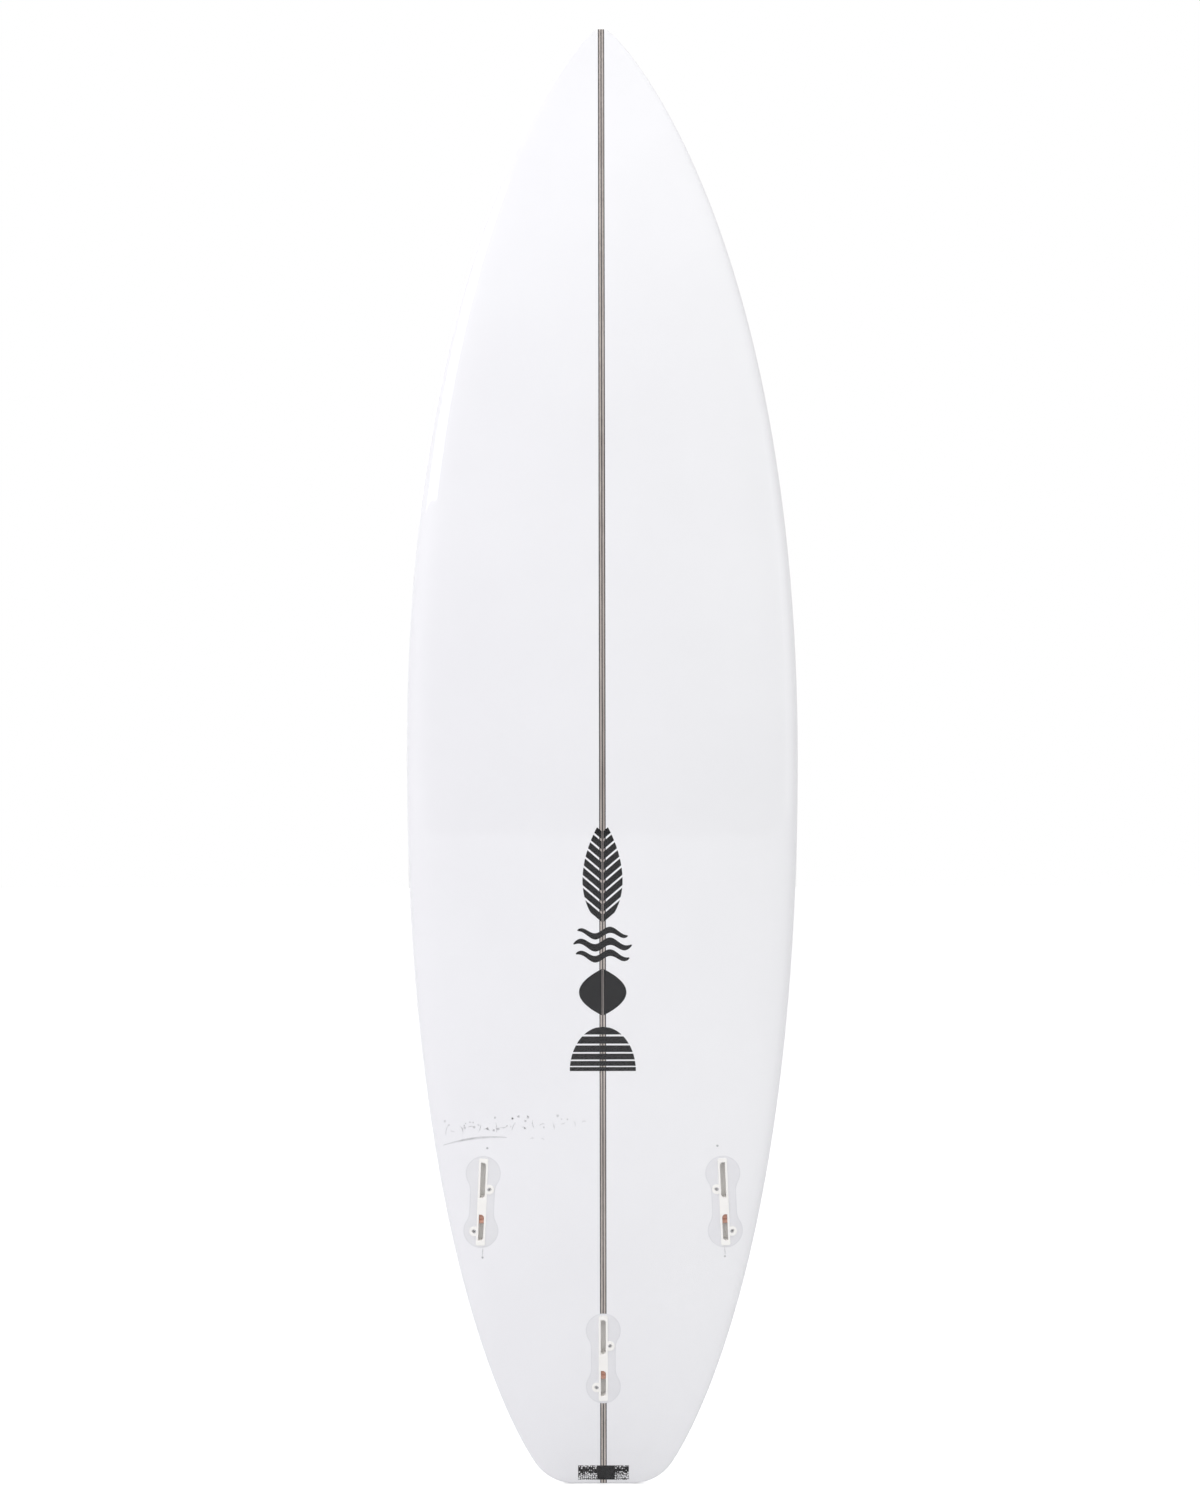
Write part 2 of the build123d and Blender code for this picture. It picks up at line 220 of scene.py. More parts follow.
# closed slab: a sheet, the same sheet lower down, and four edge strips
def slab(top, under):
    count = top.shape[0] * top.shape[1]
    grid = np.arange(count).reshape(top.shape[:2])
    rim = np.concatenate([grid[0, :-1], grid[:-1, -1], grid[-1, :0:-1], grid[:0:-1, 0]])
    ahead = np.roll(rim, -1)
    walls = np.stack([rim, rim + count, ahead + count, ahead], 1)
    faces = np.concatenate([quads(grid), quads(grid)[:, ::-1] + count, walls])
    points = np.concatenate([top.reshape(-1, 3), under.reshape(-1, 3)])
    return points, faces.tolist()


# several closed shapes as one list of points and faces
def joined(parts):
    points, faces, start = [], [], 0
    for spots, sides in parts:
        points.append(spots)
        faces += [[corner + start for corner in side] for side in sides]
        start += len(spots)
    return np.concatenate(points), faces


# smooth mesh whose edges stay sharp past an angle in degrees
def makePiece(name, points, faces, material, sharp=35):
    mesh = bpy.data.meshes.new(name)
    mesh.from_pydata(np.asarray(points).tolist(), [], faces)
    mesh.polygons.foreach_set("use_smooth", np.ones(len(mesh.polygons), bool))
    mesh.set_sharp_from_angle(angle=radians(sharp))
    mesh.materials.append(material)
    mesh.update()
    piece = bpy.data.objects.new(name, mesh)
    bpy.context.scene.collection.objects.link(piece)
    return piece


# rides on the board and stands for the nodes named, which it hides
def fitPiece(piece, slotName, *nodes):
    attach(piece, "board")
    if nodes:
        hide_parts(*nodes)


# prism on a plane, from a height above it to a depth below: a closed outline moved along Z
def prism(outline, place, top, depth):
    count = len(outline)
    local = [np.column_stack([outline, np.full(count, level)]) for level in (-depth, top)]
    points = place["origin"] + np.concatenate(local) @ place["axes"]
    ring = np.arange(count)
    ahead = (ring + 1) % count
    sides = np.stack([ring, ahead, ahead + count, ring + count], 1).tolist()
    return points, sides + [ring[::-1].tolist(), (ring + count).tolist()]


# cuts prisms out of a piece and keeps the result as its mesh
def carve(piece, cutters):
    tools = []
    for points, faces in cutters:
        tool = makePiece("tool", points, faces, piece.data.materials[0])
        cut = piece.modifiers.new("cut", "BOOLEAN")
        cut.operation = "DIFFERENCE"
        cut.solver = "EXACT"
        cut.object = tool
        tools.append(tool)
    bpy.context.view_layer.update()
    graph = bpy.context.evaluated_depsgraph_get()
    mesh = bpy.data.meshes.new_from_object(piece.evaluated_get(graph))
    old = piece.data
    piece.modifiers.clear()
    piece.data = mesh
    bpy.data.meshes.remove(old)
    for tool in tools:
        bpy.data.objects.remove(tool)
    mesh.polygons.foreach_set("use_smooth", np.ones(len(mesh.polygons), bool))
    mesh.set_sharp_from_angle(angle=radians(35))
    mesh.name = piece.name


class Recipe:
    # nodes of a material or world, added one at a time. A value is a number, a colour or
    # another node's socket.
    def __init__(self, name, owner=None):
        self.owner = owner or bpy.data.materials.new(name)
        self.owner.use_nodes = True
        self.tree = self.owner.node_tree
        self.tree.nodes.clear()

    def add(self, kind, out=0, settings=(), **inputs):
        made = self.tree.nodes.new("ShaderNode" + kind)
        for key, value in dict(settings).items():
            setattr(made, key, value)
        for key, value in inputs.items():
            name = key.replace("_", " ")
            socket = made.inputs[int(key[1:])] if key[1:].isdigit() else made.inputs[name]
            if isinstance(value, bpy.types.NodeSocket):
                self.tree.links.new(value, socket)
            else:
                socket.default_value = value
        return made.outputs[out]

    def place(self, scale=(1, 1, 1)):
        coords = self.add("TexCoord", out="Object")
        return self.add("Mapping", Vector=coords, Scale=scale)

    def noise(self, scale, detail=3.0, stretch=(1, 1, 1), rough=0.5):
        return self.add("TexNoise", Vector=self.place(stretch), Scale=scale, Detail=detail,
                        Roughness=rough)

    # two colours, or more stops, along a value
    def ramp(self, value, stops):
        made = self.tree.nodes.new("ShaderNodeValToRGB")
        band = made.color_ramp
        while len(band.elements) < len(stops):
            band.elements.new(0.5)
        for element, (spot, colour) in zip(band.elements, stops):
            element.position = spot
            element.color = (*colour, 1)
        self.tree.links.new(value, made.inputs[0])
        return made.outputs[0]

    def bump(self, height, strength, distance):
        return self.add("Bump", Height=height, Strength=strength, Distance=distance)

    def finish(self, shader, kind="Material"):
        out = self.tree.nodes.new("ShaderNodeOutput" + kind)
        self.tree.links.new(shader, out.inputs["Surface"])
        return self.owner


foamLook = {
    "base": (0.905, 0.905, 0.930),
    "shade": (0.880, 0.880, 0.905),
    # the next two colours are a painted colour cast of the light: cooler at the board's left, warmer at its right
    "paintedCoolLight": (0.995, 0.990, 1.0),
    "paintedWarmLight": (1.0, 1.0, 0.993),
    "cell": 1400.0,
}


# foam: two close whites in soft clouds, a painted colour cast of the light that is cooler at the left and warmer
# at the right, and a bump of tiny cells
def foamMaterial(name, look):
    r = Recipe(name)
    cloud = r.noise(5.0, 2.0)
    even = r.ramp(cloud, [(0.3, look["shade"]), (0.7, look["base"])])
    # painted light: the colour goes from the cool cast at the left to the warm cast at the right across the board,
    # as the light falls
    across = r.add("SeparateXYZ", Vector=r.place())
    share = r.add("MapRange", Value=across, i1=-0.2, i2=0.2)
    paintedLightCast = r.ramp(share, [(0.0, look["paintedCoolLight"]), (1.0, look["paintedWarmLight"])])
    base = r.add("Mix", out=2, settings={"data_type": "RGBA", "blend_type": "MULTIPLY"},
                 i0=1.0, i6=even, i7=paintedLightCast)
    cells = r.add("TexVoronoi", Vector=r.place(), Scale=look["cell"])
    ridge = r.bump(cells, 0.25, 0.0002)
    return r.finish(r.add("BsdfPrincipled", Base_Color=base, Roughness=0.75, Normal=ridge))


woodLook = {"dark": (0.33, 0.285, 0.265), "light": (0.56, 0.505, 0.47)}


def woodMaterial():
    r = Recipe("stringerWood")
    grain = r.noise(1.0, 5.0, (900, 900, 26), 0.6)
    tone = r.noise(1.0, 2.0, (60, 60, 5))
    mixed = r.add("Math", settings={"operation": "ADD"}, i0=grain, i1=tone)
    share = r.add("Math", settings={"operation": "MULTIPLY"}, i0=mixed, i1=0.5)
    base = r.ramp(share, [(0.36, woodLook["dark"]), (0.64, woodLook["light"])])
    return r.finish(r.add("BsdfPrincipled", Base_Color=base, Roughness=0.6,
                          Specular_IOR_Level=0.1, Normal=r.bump(grain, 0.2, 0.0002)))


def glueMaterial():
    r = Recipe("glueLine")
    streak = r.noise(1.0, 4.0, (700, 700, 40), 0.6)
    base = r.ramp(streak, [(0.3, (0.018, 0.015, 0.018)), (0.75, (0.060, 0.052, 0.055))])
    return r.finish(r.add("BsdfPrincipled", Base_Color=base, Roughness=0.5,
                          Specular_IOR_Level=0.1))


skinLook = {"haze": 0.006, "weave": 2100.0, "roughness": 0.035}


# clear resin over glass cloth: see-through, a milky trace of the cloth, and a gloss by Fresnel
def skinMaterial():
    r = Recipe("clearSkin")
    warp = r.add("TexWave", Vector=r.place(), Scale=skinLook["weave"] / 20,
                 settings={"bands_direction": "X"})
    weft = r.add("TexWave", Vector=r.place(), Scale=skinLook["weave"] / 20,
                 settings={"bands_direction": "Z"})
    cloth = r.add("Math", settings={"operation": "MULTIPLY"}, i0=warp, i1=weft)
    haze = r.add("MapRange", Value=cloth, i3=skinLook["haze"] * 0.7, i4=skinLook["haze"] * 1.3)
    clear = r.add("BsdfTransparent", Color=(1, 1, 1, 1))
    milk = r.add("BsdfDiffuse", Color=(0.9, 0.9, 0.92, 1))
    body = r.add("MixShader", i0=haze, i1=clear, i2=milk)
    ripple = r.bump(r.noise(14.0, 1.0), 0.05, 0.002)
    gloss = r.add("BsdfGlossy", Color=(1, 1, 1, 1), Roughness=skinLook["roughness"],
                  Normal=ripple)
    fresnel = r.add("Fresnel", IOR=1.5)
    inside = r.add("NewGeometry", out="Backfacing")
    outside = r.add("Math", settings={"operation": "SUBTRACT"}, i0=1.0, i1=inside)
    share = r.add("Math", settings={"operation": "MULTIPLY"}, i0=fresnel, i1=outside)
    return r.finish(r.add("MixShader", i0=share, i1=body, i2=gloss))


def innerMaterial():
    r = Recipe("skinInside")
    return r.finish(r.add("BsdfTransparent", Color=(1, 1, 1, 1)))


# black ink with fine specks. Dotted leaves white cells at both ends of the print
def inkMaterial(name, dotted=False):
    r = Recipe(name)
    speck = r.noise(900.0, 3.0)
    base = r.ramp(speck, [(0.25, (0.004, 0.004, 0.005)), (0.8, (0.014, 0.013, 0.015))])
    if dotted:
        dots = r.add("TexVoronoi", Vector=r.place(), Scale=400.0, Randomness=0.35)
        light = r.ramp(dots, [(0.37, (1, 1, 1)), (0.43, (0, 0, 0))])
        across = r.add("SeparateXYZ", Vector=r.place())
        aside = r.add("Math", settings={"operation": "SUBTRACT"}, i0=across, i1=0.003)
        away = r.add("Math", settings={"operation": "ABSOLUTE"}, i0=aside)
        ends = r.add("MapRange", Value=away, i1=0.0105, i2=0.0115)
        share = r.add("Math", settings={"operation": "MULTIPLY"}, i0=light, i1=ends)
        base = r.add("Mix", out=2, settings={"data_type": "RGBA"}, i0=share, i6=base,
                     i7=(0.84, 0.84, 0.86, 1))
    return r.finish(r.add("BsdfPrincipled", Base_Color=base, Roughness=0.6,
                          Specular_IOR_Level=0.08, Normal=r.bump(speck, 0.15, 0.0001)))


# grey lead that covers its patch by a small, uneven share
def pencilMaterial(name, faint, strong):
    r = Recipe(name)
    grain = r.noise(1600.0, 3.0)
    patchy = r.noise(120.0, 2.0)
    both = r.add("Math", settings={"operation": "MULTIPLY"}, i0=grain, i1=patchy)
    cover = r.add("MapRange", Value=both, i1=0.14, i2=0.36, i3=faint, i4=strong)
    clear = r.add("BsdfTransparent", Color=(1, 1, 1, 1))
    lead = r.add("BsdfDiffuse", Color=(0.22, 0.22, 0.24, 1))
    return r.finish(r.add("MixShader", i0=cover, i1=clear, i2=lead))


# moulded plastic, foam or rubber: a base with faint mottling and a fine surface grain
def mouldedMaterial(name, light, dark, roughness, grainScale=1500.0, grain=0.12, sheen=0.5):
    r = Recipe(name)
    base = r.ramp(r.noise(90.0, 3.0), [(0.3, dark), (0.7, light)])
    return r.finish(r.add("BsdfPrincipled", Base_Color=base, Roughness=roughness,
                          Specular_IOR_Level=sheen,
                          Normal=r.bump(r.noise(grainScale, 2.0), grain, 0.0001)))


def steelMaterial():
    r = Recipe("brushedSteel")
    lines = r.noise(1.0, 3.0, (4000, 4000, 500))
    rough = r.add("MapRange", Value=lines, i3=0.22, i4=0.42)
    return r.finish(r.add("BsdfPrincipled", Base_Color=(0.62, 0.62, 0.63, 1), Metallic=1.0,
                          Roughness=rough, Normal=r.bump(lines, 0.1, 0.0001)))


foamWhite = foamMaterial("foamWhite", foamLook)
clearSkin = skinMaterial()
skinInside = innerMaterial()
print("materials for the board made")


# one side of the core: bottom curve out to the rail, deck curve back, flat wall at the stringer
def foamHalf(name, side, material):
    skin = board["foamInset"]
    half, z = (line[:, None] for line in railStations(skin))
    at = levels(z, skin)
    inner = board["stringer"] / 2
    run = inner + at["run"] * (half - inner)
    dome = inner + board["deckDome"] * (half - inner)
    crown = at["apex"] + board["railFullness"] * (at["high"] - at["apex"])
    low = np.sin(np.linspace(0, pi / 2, 40))[None, :]
    high = np.linspace(0, 1, 41)[None, 1:]
    x = np.concatenate([bezier((inner, run, half, half), low),
                        bezier((half, half, dome, inner), high)], 1)
    y = np.concatenate([bezier((at["middle"], at["middle"], at["tuck"], at["apex"]), low),
                        bezier((at["apex"], crown, at["high"], at["high"]), high)], 1)
    points = rounded(x, y, z, skin, half)
    # the wall stays flat where the nose is squeezed
    points[..., 0] = np.maximum(points[..., 0], np.minimum(x, inner) * 0.999)
    points[:, 0, 0] = inner
    points[:, -1, 0] = inner
    points[..., 0] = np.maximum(points[..., 0], inner) * side
    ring = tube(*x.shape)[1]
    if side < 0:
        ring = ring[:, ::-1]
    caps = [ring[0, :-1][::-1].tolist(), ring[-1, :-1].tolist()]
    return makePiece(name, points.reshape(-1, 3), quads(ring).tolist() + caps, material)


# a strip of the stringer: four corners carried along the board's middle
def strip(name, low, high, material):
    skin = board["foamInset"]
    z = railStations(skin)[1]
    at = levels(z, skin)
    x = np.array([low, high, high, low])[None, :]
    y = np.stack([at["middle"], at["middle"], at["high"], at["high"]], 1)
    tail, nose = endSqueeze(z[:, None], skin)
    y = at["centre"][:, None] + (y - at["centre"][:, None]) * (
        1 - (tail + nose) / (at["thick"][:, None] / 2))
    points = np.stack(np.broadcast_arrays(x, y, z[:, None]), -1)
    grid, ring = tube(len(z), 4)
    caps = [grid[0][::-1].tolist(), grid[-1].tolist()]
    return makePiece(name, points.reshape(-1, 3), quads(ring).tolist() + caps, material)


record = frame["record"]
mounts = {mount["name"]: mount for mount in record["mounts"]}
joints = {joint["name"]: joint for joint in frame["joints"]}


# origin and three axes of a plug: across, forward and out of the surface
def placeOf(mountName, forward):
    mount = mounts[mountName]
    out = Vector(mount["axis"]).normalized()
    ahead = Vector(forward)
    ahead = (ahead - out * ahead.dot(out)).normalized()
    axes = np.array([ahead.cross(out), ahead, out])
    return {"origin": np.array(mount["pos_m"]), "axes": axes}


plugPlaces = {
    where: placeOf("fin_seat_" + where, joints[f"catch_{where}_press"]["axis"])
    for where in ("left", "right", "centre")
}
plugSides = {"left": 1, "right": -1, "centre": 1}
leashPlace = placeOf("leash_pin_tie", (0, 0, 1))

plug = {
    "lobeRadius": 0.0205,
    "lobeReach": 0.0357,
    "waistWidth": 0.0284,
    "waistBlend": 0.024,
    "flangeDepth": 0.0165,
    "resinGap": 0.001,
    "frameLength": 0.108,
    "frameWidth": 0.0112,
    "frameCorner": 0.0022,
    "bossRadius": 0.006,
    "bossOffset": 0.0081,
    "bossLevels": (0.0161, -0.0368),
    "seam": 0.00006,  # hairline between the glass and what it is cut round
    "leashRadius": 0.014,
    "leashDepth": 0.0135,
    "leashCut": 0.008,
    "pinDepth": 0.0045,
    "clear": 0.006,  # how far a cutting shape stands past the surface
}


# points of a circle's arc, between two angles in degrees
def arc(centre, radius, start, end, steps):
    turn = np.radians(np.linspace(start, end, steps))
    return np.column_stack([centre[0] + radius * np.cos(turn), centre[1] + radius * np.sin(turn)])


# 48 points right round a circle
def circle(centre, radius):
    return arc(centre, radius, 0, 352.5, 48)


# figure of eight: a lobe's arc and a neck's arc for a quarter, mirrored twice
def lobeOutline(grow):
    lobe = plug["lobeRadius"] + grow
    neck = plug["waistBlend"] - grow
    waist = plug["waistWidth"] / 2 + grow
    turn = degrees(acos((waist + neck) / (lobe + neck)))
    neckY = plug["lobeReach"] - (lobe + neck) * sin(radians(turn))
    quarter = np.concatenate([
        arc((waist + neck, neckY), neck, 180, 180 - turn, 14),
        arc((0, plug["lobeReach"]), lobe, -turn, 90, 30)[1:],
    ])
    other = quarter[-2::-1] * (-1, 1)
    upper = np.concatenate([quarter, other])
    return np.concatenate([upper, upper[::-1] * (1, -1)])


# rectangle with a quarter circle at each corner
def barOutline(width, length, corner):
    x, y = width / 2 - corner, length / 2 - corner
    turns = ((x, y, 0), (-x, y, 90), (-x, -y, 180), (x, -y, 270))
    return np.concatenate([arc((a, b), corner, turn, turn + 90, 9) for a, b, turn in turns])


pockets = {
    where: prism(lobeOutline(plug["resinGap"]), place, plug["clear"],
                 plug["flangeDepth"] + plug["resinGap"])
    for where, place in plugPlaces.items()
}
leashTop = plug["pinDepth"]  # the cup's mouth over the mount, which is at the pin
leashBore = prism(circle((0, 0), plug["leashRadius"] + plug["resinGap"]), leashPlace,
                  leashTop + plug["clear"], plug["leashDepth"] + plug["resinGap"] - leashTop)

foamLeft = foamHalf("foamLeft", -1, foamWhite)
carve(foamLeft, [pockets["left"], pockets["centre"]])
fitPiece(foamLeft, "foam", "foam_left")
foamRight = foamHalf("foamRight", 1, foamWhite)
carve(foamRight, [pockets["right"], pockets["centre"], leashBore])
fitPiece(foamRight, "foam", "foam_right")

stringerWood = woodMaterial()
glueLine = glueMaterial()
strips = (
    ("glueLeft", 0.0012, glueLine, "glue", "glue_line_left"),
    ("plyLeft", 0.0022, stringerWood, "stringer_wood", "stringer_ply_left"),
    ("glueCentre", 0.0012, glueLine, "glue", "glue_line_centre"),
    ("plyRight", 0.0022, stringerWood, "stringer_wood", "stringer_ply_right"),
    ("glueRight", 0.0012, glueLine, "glue", "glue_line_right"),
)
edge = -board["stringer"] / 2
for name, width, material, slotName, node in strips:
    piece = strip(name, edge, edge + width, material)
    carve(piece, [pockets["centre"]])
    fitPiece(piece, slotName, node)
    edge += width
print("foam and stringer made")


glassLook = {
    "wall": 0.0008,  # just short of the foam, so that the two never share a surface
    "lap": 0.038,  # the deck's glass comes this far round onto the bottom
    "lapLeast": 0.0015,  # half-width kept for the bottom's glass near the nose
    "lapMost": 0.9,  # and its largest share of the half-width
    "tailEdge": 0.008,
    "lapColumns": 30,
    "railColumns": 26,
    "deckColumns": 40,
}


# ring of a section: bottom out to the lap, on to the rail, over the deck to the middle, and
# mirrored back
def skinGrid(skin):
    half, z = (line[:, None] for line in railStations(skin))
    at = levels(z, skin)
    inner = board["stringer"] / 2
    lapHalf = halfAt(z, glassLook["lap"])
    flat = np.minimum(board["tailFlat"], half - glassLook["tailEdge"])
    lapX = np.where(z < glassLook["lap"], flat, np.maximum(lapHalf, glassLook["lapLeast"]))
    lapX = np.minimum(lapX, glassLook["lapMost"] * half)
    inward = np.linspace(0, 1, glassLook["lapColumns"] + 1)[None, :]
    outward = np.sin(np.linspace(0, pi / 2, glassLook["railColumns"] + 1))[None, 1:]
    x = np.concatenate([lapX * inward, lapX + (half - lapX) * outward], 1)
    y = bottomLevel(x, z, half, skin)
    over = np.linspace(0, 1, glassLook["deckColumns"] + 1)[None, 1:]
    dome = inner + board["deckDome"] * (half - inner)
    crown = at["apex"] + board["railFullness"] * (at["high"] - at["apex"])
    x = np.concatenate([x, bezier((half, half, dome, inner), over), half * 0], 1)
    y = np.concatenate([y, bezier((at["apex"], crown, at["high"], at["high"]), over),
                        at["high"]], 1)
    right = rounded(x, y, z, skin, half)
    left = right[:, -2:0:-1] * (-1, 1, 1)
    return np.concatenate([right, left], 1), z[:, 0]


# outer and inner surface of the skin, split along the lap into the bottom's and the deck's
# glass, each closed by a wall along the split
def glassPieces():
    outer, z = skinGrid(0.0)
    inner, _ = skinGrid(glassLook["wall"])
    rows, columns = outer.shape[:2]
    grid, ring = tube(rows, columns)
    first = int(np.argmax(z >= glassLook["lap"]))
    narrow = halfAt(z, glassLook["lap"])
    last = int(np.max(np.nonzero(narrow > glassLook["lapLeast"])[0]))
    lap = glassLook["lapColumns"]
    band = np.arange(rows - 1)
    inBand = (band >= first) & (band < last)
    spot = np.arange(columns)
    inLap = (spot < lap) | (spot >= columns - lap)
    patch = (inBand[:, None] & inLap[None, :]).ravel()
    faces = quads(ring)
    count = rows * columns
    points = np.concatenate([outer.reshape(-1, 3), inner.reshape(-1, 3)])
    # edge of the patch: across at both ends, along both laps
    across = np.concatenate([np.arange(columns - lap, columns), np.arange(0, lap + 1)])
    rim = np.concatenate([
        grid[first, across],
        grid[first + 1:last, lap],
        grid[last, across[::-1]],
        grid[first + 1:last, columns - lap][::-1],
    ])
    ahead = np.roll(rim, -1)
    wall = np.stack([rim, rim + count, ahead + count, ahead], 1)
    bottom = np.concatenate([faces[patch], faces[patch][:, ::-1] + count, wall])
    deck = np.concatenate([faces[~patch], faces[~patch][:, ::-1] + count, wall[:, ::-1]])
    caps = [grid[0][::-1].tolist(), grid[-1].tolist(), (grid[0] + count).tolist(),
            (grid[-1] + count)[::-1].tolist()]
    made = {}
    for name, sides, ends in (("bottomGlass", bottom, []), ("deckGlass", deck, caps)):
        used = np.unique(sides)
        renumber = np.zeros(2 * count, int)
        renumber[used] = np.arange(len(used))
        lists = renumber[sides].tolist() + [renumber[end].tolist() for end in ends]
        made[name] = makePiece(name, points[used], lists, clearSkin)
    return made["bottomGlass"], made["deckGlass"]


# faces of the inner wall get the plain clear material: they look towards the foam
def clearInside(piece):
    mesh = piece.data
    mesh.materials.append(skinInside)
    count = len(mesh.polygons)
    centre = np.empty(count * 3)
    mesh.polygons.foreach_get("center", centre)
    normal = np.empty(count * 3)
    mesh.polygons.foreach_get("normal", normal)
    centre = centre.reshape(-1, 3)
    normal = normal.reshape(-1, 3)
    at = levels(np.clip(centre[:, 2], 0, board["length"]), 0.0)
    away = centre.copy()
    away[:, 1] -= at["centre"]
    half = halfAt(centre[:, 2], 0.0)
    # towards the nearest part of the section's own middle line
    away[:, 0] -= np.clip(away[:, 0], -np.maximum(half - 0.03, 0), np.maximum(half - 0.03, 0))
    away[:, 2] = np.where(centre[:, 2] < 0.003, -0.01, np.where(
        centre[:, 2] > board["length"] - 0.004, 0.01, 0))
    inwards = np.einsum("ij,ij->i", away, normal) < 0
    mesh.polygons.foreach_set("material_index", inwards.astype(np.int32))


bottomGlass, deckGlass = glassPieces()
grown = plug["seam"]
frameCuts = []
for where, place in plugPlaces.items():
    bar = barOutline(plug["frameWidth"] + 2 * grown, plug["frameLength"] + 2 * grown,
                     plug["frameCorner"] + grown)
    frameCuts.append(prism(bar, place, plug["clear"], plug["clear"]))
    for turn, level in zip((1, -1), plug["bossLevels"]):
        spot = (turn * plugSides[where] * plug["bossOffset"], level)
        boss = circle(spot, plug["bossRadius"] + grown)
        frameCuts.append(prism(boss, place, plug["clear"], plug["clear"]))
carve(bottomGlass, frameCuts)
leashCut = prism(circle((0, 0), plug["leashRadius"] + grown), leashPlace,
                 leashTop + plug["clear"], plug["leashCut"] - leashTop)
carve(deckGlass, frameCuts + [leashCut])
for piece, node in ((bottomGlass, "bottom_laminate"), (deckGlass, "deck_laminate")):
    clearInside(piece)
    fitPiece(piece, "skin", node)
print("glass made")


inkLevels = (0.00086, 0.00096)  # depth of a print's face and back under the glass's surface


# thin closed patch laid on the bottom
def inkPatch(x, z):
    top = np.stack([x, onBottom(x, z, inkLevels[0]), z], -1)
    under = np.stack([x, onBottom(x, z, inkLevels[1]), z], -1)
    return slab(top, under)


emblem = {
    "high": 0.827,
    "leafFoot": 0.700,
    "leafHalf": 0.0245,
    "rib": 0.0011,
    "bands": 9,
    "slant": 0.85,
    "cover": 0.76,
    "waves": ((0.6885, 0.031, 0.0080), (0.6745, 0.036, 0.0095), (0.6605, 0.033, 0.0085)),
    "swell": 0.0040,
    "swellLength": 0.037,
    "lensHalf": (0.0290, 0.0285),
    "lensMiddle": 0.6160,
    "lensGap": 0.0011,
}


# leaf's half-width: a sine arch that leans towards the foot
def leafHalf(z):
    share = np.clip((z - emblem["leafFoot"]) / (emblem["high"] - emblem["leafFoot"]), 0, 1)
    return emblem["leafHalf"] * np.sin(pi * share**0.8) ** 0.75


# band k of the leaf: from the rib out to the leaf's edge along a slanted line
def leafBand(k, side):
    pitch = (emblem["high"] - emblem["leafFoot"]) / (emblem["bands"] + 1)
    across = np.linspace(0, 1, 16)[:, None]
    start = emblem["leafFoot"] + pitch * (k + 0.1 + emblem["cover"] * np.linspace(0, 1, 7)[None, :])
    out = np.full_like(start, emblem["leafHalf"])
    for _ in range(40):
        out = 0.5 * out + 0.5 * np.maximum(leafHalf(start + emblem["slant"] * out), emblem["rib"])
    x = emblem["rib"] + (np.maximum(out, emblem["rib"] + 1e-5) - emblem["rib"]) * across
    z = start + emblem["slant"] * x
    if side < 0:
        x, z = x[::-1], z[::-1]
    return inkPatch((side * x).T, z.T)


# wave: a sine line with a width that fades to a point at each end
def wave(level, reach, width):
    x = np.linspace(-reach, reach, 90)[None, :]
    fade = np.sqrt(np.clip(1 - (x / reach) ** 2, 0, 1)) * 0.97 + 0.03
    line = level + emblem["swell"] * np.sin(2 * pi * x / emblem["swellLength"])
    z = line + width * fade * np.linspace(-0.5, 0.5, 5)[:, None]
    return inkPatch(x + 0 * z, z)


# half of a lens: between a straight inner edge and an arch
def lensHalf(side):
    wide, tall = emblem["lensHalf"]
    z = np.linspace(-1, 1, 40)[:, None]
    arch = emblem["lensGap"] + (wide - emblem["lensGap"]) * (1 - z**2) + 1e-5
    across = np.linspace(0, 1, 12)[None, :]
    x = emblem["lensGap"] + (arch - emblem["lensGap"]) * across
    if side < 0:
        x = -x[:, ::-1]
    return inkPatch(x, emblem["lensMiddle"] + tall * z + 0 * x)


ink = inkMaterial("blackInk")
leaf = [leafBand(k, side) for k in range(emblem["bands"]) for side in (-1, 1)]
waves = [wave(*values) for values in emblem["waves"]]
points, faces = joined(leaf + waves + [lensHalf(-1), lensHalf(1)])
emblemInk = makePiece("emblemInk", points, faces, ink)
fitPiece(emblemInk, "print", "emblem_print")

badge = {"foot": 0.519, "half": 0.0405, "tall": 0.0545, "stripes": 6, "cover": 0.80,
         "thinning": 1.35}


# low sun: flat stripes between two heights, cut to an ellipse, thinner towards the foot
def sunStripe(low, high):
    z = np.linspace(low, high, 9)[:, None]
    edge = badge["half"] * np.sqrt(np.clip(1 - (z / badge["tall"]) ** 2, 1e-6, 1))
    x = edge * np.sin(np.linspace(-pi / 2, pi / 2, 41))[None, :]
    return inkPatch(x, badge["foot"] + z + 0 * x)


share = badge["tall"] * np.linspace(0, 1, badge["stripes"] + 1) ** badge["thinning"]
stripes = [sunStripe(low + (high - low) * (1 - badge["cover"]) * (low > 0), high)
           for low, high in zip(share[:-1], share[1:])]
points, faces = joined(stripes)
badgeInk = makePiece("badgeInk", points, faces, ink)
fitPiece(badgeInk, "print", "badge_print")

label = {"half": 0.0315, "low": 0.0057, "high": 0.0240}
x = np.linspace(-label["half"], label["half"], 40)[None, :]
z = np.linspace(label["low"], label["high"], 10)[:, None]
points, faces = inkPatch(x + 0 * z, z + 0 * x)
labelInk = makePiece("labelInk", points, faces, inkMaterial("dottedInk", dotted=True))
fitPiece(labelInk, "print", "label_print")

